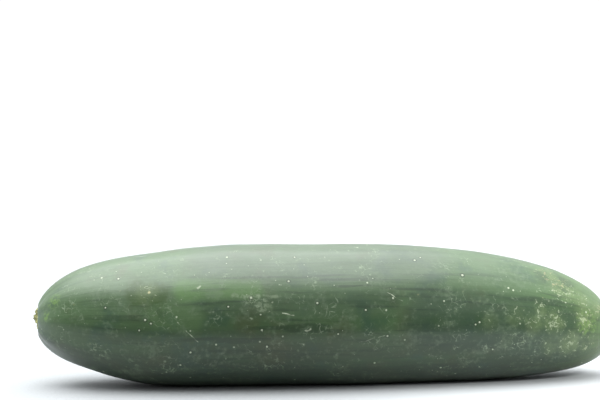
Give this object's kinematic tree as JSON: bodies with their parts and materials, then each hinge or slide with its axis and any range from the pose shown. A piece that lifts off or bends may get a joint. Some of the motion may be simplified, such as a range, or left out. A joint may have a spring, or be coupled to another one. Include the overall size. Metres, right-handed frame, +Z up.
{
  "type": "cucumber",
  "caption": "Whole slicing cucumber with a gentle bow, blunt stem end with a corky stem scar and tapered blossom end, lying on its belly.",
  "frame": {"origin": "centre of the cucumber's outline seen from above, on the surface that it lies on", "axes": "+X along the fruit towards the blossom end, +Z up, and the middle of the fruit bows towards -Y"},
  "size_m": [0.235, 0.0576, 0.0563],
  "materials": {
    "cucumber_skin": "waxy dark green skin with a grey bloom, fine corky specks and scratches, yellow-green at the blossom end"
  },
  "bodies": {
    "root": {"cucumber": "cucumber_skin"}
  },
  "joints": []
}
